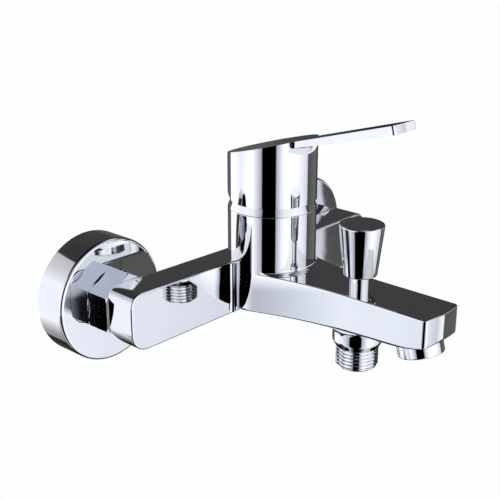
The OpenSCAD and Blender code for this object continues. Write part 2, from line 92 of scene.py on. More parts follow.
ARM_FRONT = ARM_BACK - 17.4
BODY_TOP = 39.9
CORE_R = 18
SPOUT_HALF = 13.7
SPOUT_TOP = 10.25
FLANK_START = -118
TIP_SAGITTA = 1.2
SPOUT_CORNER = 2.2
AERATOR = Vector((0, -147.5, -5))
AERATOR_LEAN = math.radians(15)
BOSS_R = 12.4
BOSS_TIP = -19.5
SPIGOT_R = 9
GLAND_R = 8.45
HUB_TOP = 77
HUB_TOP_SLOPE = math.radians(14.8)
LEVER_ROOT = -19.7
PIVOT_Z = 31
STEM_LEAN = math.radians(12)

TO_ROW = Matrix.Translation((0, 0, MIXER_Z / 1000)) @ Matrix.Scale(0.001, 4)
AT_BODY = Matrix.Translation((0, BODY_Y, 0))
AT_STEM = AT_BODY @ Matrix.Translation((0, 0, PIVOT_Z)) @ Matrix.Rotation(STEM_LEAN, 4, "X")
AT_DIVERTER = Matrix.Translation((0, DIVERTER_Y, 0))
AT_AERATOR = Matrix.Translation(AERATOR) @ Matrix.Rotation(math.pi - AERATOR_LEAN, 4, "X")
TOWARDS_USER = Matrix.Rotation(math.pi / 2, 4, "X")
# Level direction from the object to the photo's camera.
CAMERA_SIDE = Vector((-0.7359, -0.6772, 0))


def at_inlet(side):
    """Local +Z runs from the wall towards the user along one inlet's axis."""
    return Matrix.Translation((side * INLET_X, 0, 0)) @ TOWARDS_USER


# ---------- meshes ----------

def make(name, points, faces, place=Matrix.Identity(4)):
    """An object in the row frame from points in millimetres."""
    mesh = bpy.data.meshes.new(name)
    mesh.from_pydata([TO_ROW @ place @ Vector(p) for p in points], [], faces)
    mesh.validate()
    piece = bpy.data.objects.new(name, mesh)
    bpy.context.scene.collection.objects.link(piece)
    outward(mesh)
    return piece


def outward(mesh):
    """Turns every face of a closed mesh to look out."""
    bm = bmesh.new()
    bm.from_mesh(mesh)
    bmesh.ops.recalc_face_normals(bm, faces=bm.faces)
    bm.to_mesh(mesh)
    bm.free()


def lathe(name, column, place=Matrix.Identity(4), segments=128):
    """A closed profile turned about Z. column is a list of (radius, z), or a function of the angle."""
    points = []
    for i in range(segments):
        angle = 2 * math.pi * i / segments
        profile = column(angle) if callable(column) else column
        points += [(r * math.cos(angle), r * math.sin(angle), z) for r, z in profile]
    count = len(points) // segments
    faces = []
    for i in range(segments):
        a, b = i * count, (i + 1) % segments * count
        for k in range(count):
            n = (k + 1) % count
            faces.append((a + k, b + k, b + n, a + n))
    return make(name, points, faces, place)


def turned(name, profile, place=Matrix.Identity(4), segments=128):
    """A solid of revolution. The profile runs from the bottom to the top and both ends are capped."""
    points = []
    for i in range(segments):
        angle = 2 * math.pi * i / segments
        points += [(r * math.cos(angle), r * math.sin(angle), z) for r, z in profile]
    count = len(profile)
    faces = [(i * count + k, (i + 1) % segments * count + k,
              (i + 1) % segments * count + k + 1, i * count + k + 1)
             for i in range(segments) for k in range(count - 1)]
    faces.append([i * count for i in reversed(range(segments))])
    faces.append([i * count + count - 1 for i in range(segments)])
    return make(name, points, faces, place)


def plug(name, r, low, high, place=Matrix.Identity(4), segments=96):
    """A plain cylinder, used only to cut bores."""
    return turned(name, [(r, low), (r, high)], place, segments)


def prism(name, outline, half_width):
    """A (y, z) outline extruded along X."""
    count = len(outline)
    points = [(x, y, z) for x in (-half_width, half_width) for y, z in outline]
    faces = [(k, (k + 1) % count, count + (k + 1) % count, count + k) for k in range(count)]
    faces += [list(range(count)), list(range(count, 2 * count))]
    return make(name, points, faces)


def stacked(name, rings, place=Matrix.Identity(4), foot=None):
    """A solid from rings of equal length. foot lists the first ring's faces; one face caps it otherwise."""
    count = len(rings[0])
    points = [p for ring in rings for p in ring]
    faces = [(j * count + k, j * count + (k + 1) % count,
              (j + 1) * count + (k + 1) % count, (j + 1) * count + k)
             for j in range(len(rings) - 1) for k in range(count)]
    faces += foot or [list(range(count))]
    faces.append([(len(rings) - 1) * count + k for k in range(count)])
    return make(name, points, faces, place)


def rounded(corners, steps=5):
    """A polyline through (a, b, radius) corners, with an arc of that radius at each inner one."""
    path = [corners[0][:2]]
    for before, here, after in zip(corners, corners[1:], corners[2:]):
        path += corner_arc(before, here, after, steps)
    return path + [corners[-1][:2]]


def rounded_loop(corners, steps=5):
    """A closed outline through (a, b, radius) corners."""
    path = []
    for i, here in enumerate(corners):
        path += corner_arc(corners[i - 1], here, corners[(i + 1) % len(corners)], steps)
    return path


def corner_arc(before, here, after, steps):
    """Points that replace one corner by an arc which touches both of its sides."""
    corner, radius = Vector(here[:2]), here[2]
    if radius == 0:
        return [tuple(corner)]
    to_before = (Vector(before[:2]) - corner).normalized()
    to_after = (Vector(after[:2]) - corner).normalized()
    half = to_before.angle(to_after) / 2
    middle = corner + (to_before + to_after).normalized() * radius / math.sin(half)
    start = corner + to_before * radius / math.tan(half) - middle
    end = corner + to_after * radius / math.tan(half) - middle
    sweep = start.angle(end)
    points = []
    for i in range(steps + 1):
        t = i / steps
        offset = (start * math.sin((1 - t) * sweep) + end * math.sin(t * sweep)) / math.sin(sweep)
        points.append(tuple(middle + offset))
    return points


def arc(x, y, r, start, end, steps, first=0):
    """Points on a circle about (x, y), from one angle to another."""
    points = []
    for i in range(first, steps + 1):
        angle = start + (end - start) * i / steps
        points.append((x + r * math.cos(angle), y + r * math.sin(angle)))
    return points


def quarter(steps):
    """Pairs (still to go in, already gone along), from (1, 0) to (0, 1), that round an edge of radius 1."""
    angles = [math.pi / 2 * i / steps for i in range(steps + 1)]
    return [(1 - math.sin(angle), 1 - math.cos(angle)) for angle in angles]


def combine(piece, other, operation):
    """Adds, cuts or keeps the overlap of another solid, which is used up."""
    modifier = piece.modifiers.new("combine", "BOOLEAN")
    modifier.operation = operation
    modifier.solver = "EXACT"
    modifier.object = other
    bake(piece)
    bpy.data.objects.remove(other)
    return piece


def bake(piece):
    """Applies a piece's modifiers."""
    graph = bpy.context.evaluated_depsgraph_get()
    mesh = bpy.data.meshes.new_from_object(piece.evaluated_get(graph))
    piece.modifiers.clear()
    piece.data = mesh


def round_edges(piece, width, segments=3):
    """Rounds every edge sharper than 30 degrees."""
    modifier = piece.modifiers.new("round", "BEVEL")
    modifier.width = width / 1000
    modifier.segments = segments
    modifier.limit_method = "ANGLE"
    modifier.angle_limit = math.radians(30)
    bake(piece)


def finish_piece(piece, body, slot, *nodes):
    """Smooth shading, the slot's material, and the piece's place in the frame."""
    mesh = piece.data
    mesh.materials.clear()
    mesh.materials.append(MATERIALS[slot])
    mesh.shade_smooth()
    mesh.set_sharp_from_angle(angle=math.radians(32))
    modifier = piece.modifiers.new("shading", "WEIGHTED_NORMAL")
    modifier.keep_sharp = True
    modifier.weight = 50
    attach(piece, body)
    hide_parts(*nodes)


# ---------- materials ----------

def shader(name, metallic, roughness):
    """A new material and its main shader node."""
    material = bpy.data.materials.new(name)
    material.use_nodes = True
    nodes = material.node_tree.nodes
    principled = nodes["Principled BSDF"]
    principled.inputs["Metallic"].default_value = metallic
    principled.inputs["Roughness"].default_value = roughness
    return material, principled


def noise(material, scale, detail):
    """A cloudy texture fixed to the piece."""
    tree = material.node_tree
    coordinates = tree.nodes.new("ShaderNodeTexCoord")
    texture = tree.nodes.new("ShaderNodeTexNoise")
    texture.inputs["Scale"].default_value = scale
    texture.inputs["Detail"].default_value = detail
    tree.links.new(coordinates.outputs["Object"], texture.inputs["Vector"])
    return texture


def colour_between(material, factor, low, high, socket):
    """Varies a colour socket between two colours with a 0 to 1 factor."""
    tree = material.node_tree
    ramp = tree.nodes.new("ShaderNodeValToRGB")
    ramp.color_ramp.elements[0].position = 0.3
    ramp.color_ramp.elements[1].position = 0.7
    ramp.color_ramp.elements[0].color = (*low, 1)
    ramp.color_ramp.elements[1].color = (*high, 1)
    tree.links.new(factor, ramp.inputs["Fac"])
    tree.links.new(ramp.outputs["Color"], socket)


def value_between(material, factor, low, high, socket):
    """Varies a value socket between two numbers with a 0 to 1 factor."""
    tree = material.node_tree
    spread = tree.nodes.new("ShaderNodeMapRange")
    spread.inputs["From Min"].default_value = 0.3
    spread.inputs["From Max"].default_value = 0.7
    spread.inputs["To Min"].default_value = low
    spread.inputs["To Max"].default_value = high
    tree.links.new(factor, spread.inputs["Value"])
    tree.links.new(spread.outputs["Result"], socket)


def bump(material, height, principled, strength, distance):
    """Relief from a 0 to 1 height."""
    tree = material.node_tree
    node = tree.nodes.new("ShaderNodeBump")
    node.inputs["Strength"].default_value = strength
    node.inputs["Distance"].default_value = distance
    tree.links.new(height, node.inputs["Height"])
    tree.links.new(node.outputs["Normal"], principled.inputs["Normal"])


def chrome():
    """Mirror plating: faint drifts of tint and haze, and the slight waviness of polished metal."""
    material, principled = shader("polished_chrome", 1, 0.03)
    haze = noise(material, 60, 4)
    colour_between(material, haze.outputs["Fac"], (0.90, 0.91, 0.935), (0.95, 0.955, 0.97),
                   principled.inputs["Base Color"])
    smears = noise(material, 220, 6)
    value_between(material, smears.outputs["Fac"], 0.015, 0.04, principled.inputs["Roughness"])
    waves = noise(material, 28, 1)
    bump(material, waves.outputs["Fac"], principled, 0.05, 0.001)
    return material


def grained(name, metallic, low, high, rough, scale, bump_distance):
    """A material with a mottled colour, uneven gloss and a fine surface grain."""
    material, principled = shader(name, metallic, rough[0])
    mottle = noise(material, scale, 5)
    colour_between(material, mottle.outputs["Fac"], low, high, principled.inputs["Base Color"])
    value_between(material, mottle.outputs["Fac"], rough[0], rough[1], principled.inputs["Roughness"])
    grain = noise(material, scale * 12, 3)
    bump(material, grain.outputs["Fac"], principled, 0.3, bump_distance)
    return material


def index_plastic():
    """Glossy plastic, red on the left half and blue on the right half."""
    material, principled = shader("index_red_blue", 0, 0.25)
    tree = material.node_tree
    coordinates = tree.nodes.new("ShaderNodeTexCoord")
    split = tree.nodes.new("ShaderNodeSeparateXYZ")
    side = tree.nodes.new("ShaderNodeMath")
    side.operation = "GREATER_THAN"
    side.inputs[1].default_value = 0
    cloud = noise(material, 300, 3)
    ramps = []
    for low, high in (((0.55, 0.02, 0.02), (0.68, 0.04, 0.03)), ((0.02, 0.07, 0.50), (0.03, 0.10, 0.62))):
        ramp = tree.nodes.new("ShaderNodeValToRGB")
        ramp.color_ramp.elements[0].color = (*low, 1)
        ramp.color_ramp.elements[1].color = (*high, 1)
        tree.links.new(cloud.outputs["Fac"], ramp.inputs["Fac"])
        ramps.append(ramp)
    mix = tree.nodes.new("ShaderNodeMix")
    mix.data_type = "RGBA"
    tree.links.new(coordinates.outputs["Object"], split.inputs["Vector"])
    tree.links.new(split.outputs["X"], side.inputs[0])
    tree.links.new(side.outputs["Value"], mix.inputs["Factor"])
    tree.links.new(ramps[0].outputs["Color"], mix.inputs["A"])
    tree.links.new(ramps[1].outputs["Color"], mix.inputs["B"])
    tree.links.new(mix.outputs["Result"], principled.inputs["Base Color"])
    return material


MATERIALS = {
    "polished_chrome": chrome(),
    "raw_brass": grained("raw_brass", 1, (0.52, 0.33, 0.12), (0.68, 0.47, 0.20), (0.22, 0.38), 90, 0.00005),
    "seal_rubber": grained("seal_rubber", 0, (0.012, 0.012, 0.013), (0.03, 0.03, 0.032),
                           (0.45, 0.7), 150, 0.0001),
    "foam": grained("foam", 0, (0.05, 0.05, 0.055), (0.12, 0.12, 0.13), (0.8, 0.95), 300, 0.0004),
    "stainless": grained("stainless", 1, (0.46, 0.46, 0.47), (0.62, 0.62, 0.63), (0.2, 0.36), 120, 0.00005),
    "acetal": grained("acetal", 0, (0.72, 0.72, 0.71), (0.82, 0.82, 0.81), (0.35, 0.5), 80, 0.00005),
    "orange_acetal": grained("orange_acetal", 0, (0.62, 0.16, 0.02), (0.75, 0.22, 0.03),
                             (0.35, 0.5), 80, 0.00005),
    "ceramic": grained("ceramic", 0, (0.74, 0.71, 0.66), (0.83, 0.80, 0.75), (0.12, 0.25), 60, 0.00002),
    "index_red_blue": index_plastic(),
}


def dress_cad_nodes():
    """Gives every CAD node its slot's material."""
    for part in frame["record"]["subparts"]:
        mesh = frame["nodes"][part["node"]].data
        material = MATERIALS[part["material_slot"]]
        if mesh.materials:
            for i in range(len(mesh.materials)):
                mesh.materials[i] = material
        else:
            mesh.materials.append(material)


# ---------- body casting ----------

def underside(y):
    """Height of the body's underside: a gentle slope that turns up towards the spout's tip."""
    slope, turn, radius = 0.046, -141, 70
    straight = -11 + slope * (BODY_Y - 3.5 - max(y, turn))
    if y >= turn:
        return straight
    lean = math.atan(slope)
    middle_y = turn + radius * math.sin(lean)
    middle_z = straight + radius * math.cos(lean)
    return middle_z - math.sqrt(radius ** 2 - (y - middle_y) ** 2)


def plan(inset):
    """Right half of the plan outline of the cylinder and the spout, from the back to the tip."""
    reach = BODY_Y - FLANK_START
    flank_r = (reach ** 2 / (BODY_R - SPOUT_HALF) - BODY_R - SPOUT_HALF) / 2
    flank_x = SPOUT_HALF + flank_r
    meet = math.atan2(-reach, flank_x)
    half = arc(0, BODY_Y, BODY_R - inset, math.pi / 2, meet, 48)
    half += arc(flank_x, FLANK_START, flank_r + inset, math.pi + meet, math.pi, 24, first=1)

    side_x = SPOUT_HALF - inset
    tip_r = (SPOUT_HALF ** 2 + TIP_SAGITTA ** 2) / (2 * TIP_SAGITTA)
    tip_y = SPOUT_TIP + tip_r
    corner = max(SPOUT_CORNER - inset, 0.02)
    corner_x = side_x - corner
    corner_y = tip_y - math.sqrt((tip_r - inset - corner) ** 2 - corner_x ** 2)
    side_steps = 12
    half += [(side_x, FLANK_START + (corner_y - FLANK_START) * i / side_steps) for i in range(1, side_steps)]
    last = math.atan2(corner_y - tip_y, corner_x)
    half += arc(corner_x, corner_y, corner, 0, last, 6)
    half += arc(0, tip_y, tip_r - inset, last, -math.pi / 2, 8, first=1)
    return half


def plan_ring(inset, height):
    """The whole outline as a ring whose z is height(y)."""
    right = plan(inset)
    left = [(-x, y) for x, y in reversed(right[1:-1])]
    return [(x, y, height(y)) for x, y in right + left]


def spout():
    """Cylinder foot and spout in one slab, with a soft underside edge and a crisp upper edge."""
    foot, edge = 1.5, 0.6
    rings = []
    for inwards, along in quarter(6):
        rings.append(plan_ring(foot * inwards, lambda y, rise=foot * along: underside(y) + rise))
    for inwards, along in quarter(6):
        rings.append(plan_ring(edge * along, lambda y, level=SPOUT_TOP - edge * inwards: level))
    # The underside is curved along the spout, so strips across it close the foot.
    count = len(rings[0])
    foot_strips = []
    for k in range(len(plan(0)) - 1):
        corners = [k, k + 1, -(k + 1) % count, -k % count]
        foot_strips.append(list(dict.fromkeys(corners)))
    return stacked("valve_body_shell", rings, foot=foot_strips)


def plan_prism(name, inset, low, high):
    """The plan outline as an upright block."""
    return stacked(name, [plan_ring(inset, lambda y: low), plan_ring(inset, lambda y: high)])


def cylinder():
    """Upright body around the cartridge."""
    profile = rounded([(BODY_R, 0, 0), (BODY_R, BODY_TOP, 0.4), (CORE_R, BODY_TOP, 0)])
    return turned("cylinder", profile, AT_BODY, 192)


def concave(r, radius, face, up=1):
    """Profile of a fillet between a post of radius r and a face below it, or above it with up=-1."""
    return [(r + radius * along, face + up * radius * inwards) for inwards, along in quarter(8)]


def top_blend():
    """Fillet between the cylinder and the spout's top, kept inside the plan outline."""
    radius = 2
    profile = [(CORE_R, SPOUT_TOP - 1), (BODY_R + radius, SPOUT_TOP - 1)]
    profile += reversed(concave(BODY_R, radius, SPOUT_TOP))
    profile.append((CORE_R, SPOUT_TOP + radius))
    blend = turned("top_blend", profile, AT_BODY, 192)
    return combine(blend, plan_prism("trim", 0.35, 0, 30), "INTERSECT")


def boss():
    """Post for the shower outlet, with a cone at its foot."""
    knee = -16.4
    corners = [(SPIGOT_R, BOSS_TIP, 0), (THREAD_R + 0.3, BOSS_TIP, 0.3), (BOSS_R, knee, 2.5), (BOSS_R, 0, 0)]
    return turned("boss", rounded(corners), AT_DIVERTER)


def boss_blend():
    """Fillet between the post and the spout's underside, kept inside the plan outline."""
    radius, sunk = 3.2, 3
    face = underside(DIVERTER_Y) + 0.2
    profile = [(SPIGOT_R, face - radius)] + concave(BOSS_R, radius, face, up=-1)
    profile += [(BOSS_R + radius, face + sunk), (SPIGOT_R, face + sunk)]
    blend = turned("boss_blend", profile, AT_DIVERTER)
    return combine(blend, plan_prism("trim", 0.6, -30, 0), "INTERSECT")


def arm_outline():
    """Front view of both arms: slightly taller at the outer ends, with round outer corners."""
    top, bottom = (ARM_END, 14.25, 6.5), (ARM_END, -15.25, 10)
    corners = [(0, 13, 0), top, bottom, (0, -14.8, 0), (-ARM_END, *bottom[1:]), (-ARM_END, *top[1:])]
    return rounded_loop(corners, steps=16)


def inset_loop(loop, inset):
    """Moves each point of a smooth closed outline inwards."""
    moved = []
    for i, here in enumerate(loop):
        along = (Vector(loop[(i + 1) % len(loop)]) - Vector(loop[i - 1])).normalized()
        inward = Vector((along.y, -along.x))
        moved.append(Vector(here) + inward * inset)
    return moved


def arms():
    """Both arms in one slab with rounded edges."""
    edge = 1.0
    outline = arm_outline()
    rings = []
    for inwards, along in quarter(5):
        ring = inset_loop(outline, edge * inwards)
        rings.append([(p.x, ARM_BACK - edge * along, p.y) for p in ring])
    for inwards, along in quarter(5):
        ring = inset_loop(outline, edge * along)
        rings.append([(p.x, ARM_FRONT + edge * inwards, p.y) for p in ring])
    return stacked("arms", rings)


def arm_fillet(side):
    """Upright fillet where an arm's front meets the cylinder."""
    r, low, high = 2.0, -14.0, 12.4
    y = ARM_FRONT - r
    x = math.sqrt((BODY_R + r) ** 2 - (y - BODY_Y) ** 2)
    toward_axis = math.atan2(BODY_Y - y, -x) % (2 * math.pi)
    outline = [(x - 5, ARM_FRONT + 3), (x, ARM_FRONT + 3)] + arc(x, y, r, math.pi / 2, toward_axis, 8)
    rings = [[(side * px, py, z) for px, py in outline] for z in (low, high)]
    return stacked("arm_fillet", rings)


def aerator_collar():
    """Ring on the underside that the aerator screws into."""
    return turned("collar", rounded([(9, -5, 0), (11, -5, 0), (11, 1, 0.3), (9, 1, 0)]), AT_AERATOR)


def body_bores():
    """Cutters for every hole that opens on the casting's surface."""
    cartridge = [plug("cut", 17.7, 6, 31, AT_BODY), plug("cut", 19, 30, 45, AT_BODY)]
    diverter = [plug("cut", GLAND_R + 0.01, 2, 20, AT_DIVERTER, 128), plug("cut", 8, -9, 3, AT_DIVERTER)]
    shower = [plug("cut", 5.5, -22, -8, AT_DIVERTER), plug("cut", SPIGOT_R + 0.05, -22, -12, AT_DIVERTER)]
    aerator = [plug("cut", 10.05, -7, 9, AT_AERATOR), plug("cut", 7.5, -9, -6, AT_AERATOR)]
    inlets = []
    for side in (-1, 1):
        inlets.append(plug("cut", 10.53, -ARM_BACK - 1, -ARM_BACK + 6.1, at_inlet(side)))
        inlets.append(plug("cut", 9.45, -ARM_BACK, -ARM_BACK + 15, at_inlet(side)))
    return cartridge + diverter + shower + aerator + inlets


def valve_body():
    """The casting: body, spout, shower outlet's post and both arms."""
    shell = spout()
    for part in (cylinder(), top_blend(), boss(), boss_blend(), arms(), arm_fillet(-1), arm_fillet(1),
                 aerator_collar()):
        combine(shell, part, "UNION")
    for bore in body_bores():
        combine(shell, bore, "DIFFERENCE")
    finish_piece(shell, "mixer", "polished_chrome", "valve_body")


# ---------- handle ----------

def hub_top_at(y):
    """Height of the hub's sloping top, with y measured from the body's axis."""
    return HUB_TOP - (y - LEVER_ROOT) * math.tan(HUB_TOP_SLOPE)


def hub_side():
    """Side view of the hub: a sloping top with a notch for the lever, and a bevel low at the back."""
    back = BODY_R + 0.1
    notch_front, notch_root = 70, 72.6
    bevel_start, bevel_slope = 7, 0.4
    outline = [(-back, HUB_BOTTOM), (-back, notch_front), (LEVER_ROOT, notch_root), (LEVER_ROOT, HUB_TOP),
               (back, hub_top_at(back)), (back, HUB_BOTTOM + (back - bevel_start) * bevel_slope),
               (bevel_start, HUB_BOTTOM)]
    return prism("side", [(BODY_Y + y, z) for y, z in outline], 30)


def lever():
    """Lever: a bar that grows thicker towards its tip, which is a little rounded in plan."""
    tip, tip_bottom = LEVER_TIP - BODY_Y, LEVER_TIP_TOP - 4.4
    root_thickness, inside = 3.1, -15
    outline = [(inside, hub_top_at(inside) - 0.12), (LEVER_ROOT, HUB_TOP), (tip, LEVER_TIP_TOP),
               (tip, tip_bottom), (LEVER_ROOT, HUB_TOP - root_thickness),
               (inside, hub_top_at(inside) - root_thickness - 0.1)]
    bar = prism("lever", [(BODY_Y + y, z) for y, z in outline], 20)
    from_above = lever_plan(tip)
    # The plan leans back with height, so that it cuts the tip square to the lever.
    lean = math.tan(math.radians(15))
    rings = [[(x, BODY_Y + y + (z - tip_bottom) * lean, z) for x, y in from_above] for z in (70, 110)]
    return combine(bar, stacked("plan", rings), "INTERSECT")


def lever_plan(tip):
    """Plan outline of the lever: parallel sides, and a tip on a large radius with small corners."""
    tip_r, corner, steps = 45, 1.8, 8
    inside = -12
    corner_x = LEVER_HALF - corner
    corner_y = tip + tip_r - math.sqrt((tip_r - corner) ** 2 - corner_x ** 2)
    last = math.atan2(corner_x, tip + tip_r - corner_y)
    left = []
    for i in range(steps + 1):
        angle = math.pi / 2 * (1 - i / steps) + last * i / steps
        left.append((-corner_x - corner * math.sin(angle), corner_y - corner * math.cos(angle)))
    middle = []
    for i in range(1, steps):
        x = -corner_x + 2 * corner_x * i / steps
        middle.append((x, tip + tip_r - math.sqrt(tip_r ** 2 - x ** 2)))
    right = [(-x, y) for x, y in reversed(left)]
    return [(LEVER_HALF, inside), (-LEVER_HALF, inside)] + left + middle + right


def handle_shell():
    """Hub and lever, seen as one casting."""
    shell = plug("handle_shell", BODY_R, HUB_BOTTOM, 90, AT_BODY, 192)
    combine(shell, hub_side(), "INTERSECT")
    combine(shell, lever(), "UNION")
    round_edges(shell, 0.7, 4)
    combine(shell, hub_cavity(), "DIFFERENCE")
    stem_socket, screw_z, plug_r, screw_r = 8.06, 57, 3.3, 2.5
    combine(shell, block("cut", stem_socket, 10, 28.2, AT_STEM), "DIFFERENCE")
    at_screw = Matrix.Translation((0, BODY_Y, screw_z)) @ TOWARDS_USER
    combine(shell, plug("cut", plug_r, -24, -16, at_screw, 48), "DIFFERENCE")
    combine(shell, plug("cut", screw_r, -17, 3, at_screw, 48), "DIFFERENCE")
    finish_piece(shell, "handle", "polished_chrome", "handle_hub", "lever_bar")


def block(name, width, low, high, place):
    """A square bar along local Z."""
    half = width / 2
    square = [(-half, -half), (half, -half), (half, half), (-half, half)]
    return stacked(name, [[(x, y, z) for x, y in square] for z in (low, high)], place)


def hub_cavity():
    """Hollow under the hub, around a boss that holds the stem."""
    hollow_r, relief_r, roof, reach, floor = 20.2, 21.4, 8, 24, 30
    hollow = plug("cavity", hollow_r, HUB_BOTTOM - 4, 80, AT_BODY)
    side = [(-reach, floor), (-reach, hub_top_at(-reach) - roof), (reach, hub_top_at(reach) - roof),
            (reach, floor)]
    combine(hollow, prism("lid", [(BODY_Y + y, z) for y, z in side], 30), "INTERSECT")
    combine(hollow, block("boss", 17, 17, 57, AT_STEM), "DIFFERENCE")
    combine(hollow, plug("relief", relief_r, HUB_BOTTOM - 3, HUB_BOTTOM + 8, AT_BODY), "UNION")
    return hollow


def cover_ring():
    """Cone above the body, with a spherical lip that the hub passes over."""
    inner, skirt_r, skirt_z = 17.6, 18.95, 36.4
    top_r, top_z, edge = 21.1, 43.9, 0.25
    dome_r = math.hypot(top_r, top_z - PIVOT_Z)
    start, end = math.acos(top_r / dome_r), math.acos(inner / dome_r)
    further = start + 0.1
    on_dome = (dome_r * math.cos(further), PIVOT_Z + dome_r * math.sin(further), 0)
    corners = [(inner, skirt_z, 0), (skirt_r, skirt_z, 0), (skirt_r, BODY_TOP, 0), (BODY_R, BODY_TOP, edge),
               (top_r, top_z, edge), on_dome]
    profile = rounded(corners)[:-1] + arc(0, PIVOT_Z, dome_r, start, end, 8, first=1)
    piece = lathe("cover_ring_turned", profile, AT_BODY, 192)
    finish_piece(piece, "mixer", "polished_chrome", "cover_ring")


# ---------- diverter ----------

def diverter_knob():
    """Knob, widest at its top, hollow from below around the rod."""
    rod_r, hollow_r, foot_r = 2.5, 5.5, 8.2
    hollow_top = KNOB_BOTTOM + 8.2
    corners = [(rod_r, hollow_top, 0), (hollow_r, hollow_top, 0), (hollow_r, KNOB_BOTTOM, 0.3),
               (foot_r, KNOB_BOTTOM, 0.9), (KNOB_R, KNOB_TOP, 0.7), (rod_r, KNOB_TOP, 0)]
    piece = lathe("diverter_knob_turned", rounded_loop(corners), AT_DIVERTER)
    crown = turned("crown", [(rod_r + 0.1, KNOB_TOP - 5.3), (rod_r + 0.1, KNOB_TOP)], AT_DIVERTER)
    combine(piece, crown, "UNION")
    finish_piece(piece, "diverter", "polished_chrome", "diverter_knob")


def diverter_gland():
    """Bush that guides the knob's rod: wide inside the casting, a neck above it."""
    rod_r, spring_r, neck_r = 2.53, 5.6, 5.1
    bottom, spring_top, top = 2, 7, 25
    corners = [(rod_r, spring_top, 0), (spring_r, spring_top, 0), (spring_r, bottom, 0),
               (GLAND_R, bottom, 0.2), (GLAND_R, SPOUT_TOP, 0), (neck_r, SPOUT_TOP, 0),
               (neck_r, top, 0.3), (rod_r, top, 0)]
    piece = lathe("diverter_gland_turned", rounded_loop(corners, 3), AT_DIVERTER)
    finish_piece(piece, "mixer", "polished_chrome", "diverter_gland")


# ---------- threads ----------

def threaded(name, r, inner, start, end, chamfer, place):
    """A bored pipe with a round-crested pipe thread between z = start and z = end."""
    pitch = 1.814
    depth = 0.6 * pitch
    steps_per_pitch = 14
    steps = int((end - start) / pitch * steps_per_pitch)

    def column(angle):
        outside = []
        for i in range(steps + 1):
            z = start + (end - start) * i / steps
            phase = (z / pitch - angle / (2 * math.pi)) % 1
            ridge = 0.5 * (1 - abs(2 * phase - 1)) + 0.25 * (1 - math.cos(2 * math.pi * phase))
            limit = r - chamfer + (end - z)
            outside.append((min(r - depth * (1 - ridge), limit), z))
        return [(inner, start)] + outside + [(inner, end)]

    return lathe(name, column, place, 96)


def shower_nipple():
    """Threaded outlet for the shower hose, with a spigot that sits inside the post."""
    bore_r, seat, top = 6.5, BOSS_TIP - 0.1, -13.5
    down = AT_DIVERTER @ Matrix.Rotation(math.pi, 4, "X")
    piece = threaded("shower_nipple_thread", THREAD_R, bore_r, -BOSS_TIP, -NIPPLE_END, 1.3, down)
    corners = [(bore_r, seat, 0), (SPIGOT_R, seat, 0), (SPIGOT_R, top, 0.4), (bore_r, top, 0)]
    combine(piece, lathe("spigot", rounded_loop(corners, 3), AT_DIVERTER, 96), "UNION")
    finish_piece(piece, "mixer", "polished_chrome", "shower_nipple")


# ---------- inlets ----------

def at_side(side, piece):
    """Name of a piece that each inlet has."""
    return ("right_" if side > 0 else "left_") + piece


def escutcheon(side):
    """Wall cover: a shallow dish with a hole for the union."""
    name = at_side(side, "escutcheon")
    wall, hole = 1.2, 15.8
    corners = [(COVER_R - wall, 0, 0), (COVER_R, 0, 0.2), (COVER_R, COVER_DEPTH, 1.8),
               (hole, COVER_DEPTH, 0.15), (hole, COVER_DEPTH - wall, 0),
               (COVER_R - wall, COVER_DEPTH - wall, 0)]
    piece = lathe(name + "_turned", rounded_loop(corners), at_inlet(side), 192)
    finish_piece(piece, "mixer", "polished_chrome", name)


def coupling_nut(side):
    """Hexagon with its corners up and down, chamfered and softly rounded."""
    name = at_side(side, "coupling_nut")
    place = at_inlet(side)
    start, end = -NUT_BACK, -ARM_BACK
    chamfer, rise = 1.0, 0.6
    corner_r = NUT_FLATS / 2 / math.cos(math.pi / 6)
    turns = [math.pi / 6 + k * math.pi / 3 for k in range(6)]
    flats = [(corner_r * math.cos(turn), corner_r * math.sin(turn)) for turn in turns]
    piece = stacked(name + "_hex", [[(x, y, z) for x, y in flats] for z in (start, end)], place)
    crown = [(corner_r - chamfer, start), (corner_r + 0.1, start + rise),
             (corner_r + 0.1, end - rise), (corner_r - chamfer, end)]
    combine(piece, turned("crown", crown, place), "INTERSECT")
    round_edges(piece, 0.15)
    thread_r, tailpiece_r, web = 13.27, 10.68, 2.7
    combine(piece, plug("cut", thread_r, start - 1, end - web, place), "DIFFERENCE")
    combine(piece, plug("cut", tailpiece_r, end - web - 1, end + 1, place), "DIFFERENCE")
    finish_piece(piece, "mixer", "polished_chrome", name)


def eccentric_union(side):
    """Wall union: a G 1/2 thread in the wall, offset upwards from the mixer's G 3/4 thread."""
    name = at_side(side, "eccentric_union")
    wall_bore, front_bore, front_r = 7.5, 8, 13.22
    place = at_inlet(side)
    raised = place @ Matrix.Translation((0, -MIXER_Z, 0))
    into_wall = raised @ Matrix.Rotation(math.pi, 4, "X")
    piece = threaded(name + "_thread", THREAD_R, wall_bore, -3, 17, 1.0, into_wall)
    core_r, barrel_r, back, front = 6.4, 17, 2.2, 14
    middle = place @ Matrix.Translation((0, -MIXER_Z / 2, 0))
    corners = [(core_r, back, 0), (barrel_r, back, 0.8), (barrel_r, front, 0.8), (core_r, front, 0)]
    combine(piece, turned("barrel", rounded(corners), middle), "UNION")
    combine(piece, threaded("front", front_r, front_bore, 13.2, 25, 0.8, place), "UNION")
    combine(piece, plug("cut", wall_bore, 1, 9, raised), "DIFFERENCE")
    combine(piece, plug("cut", front_bore, 6, 26, place), "DIFFERENCE")
    finish_piece(piece, "mixer", "polished_chrome", name)


# ---------- aerator ----------

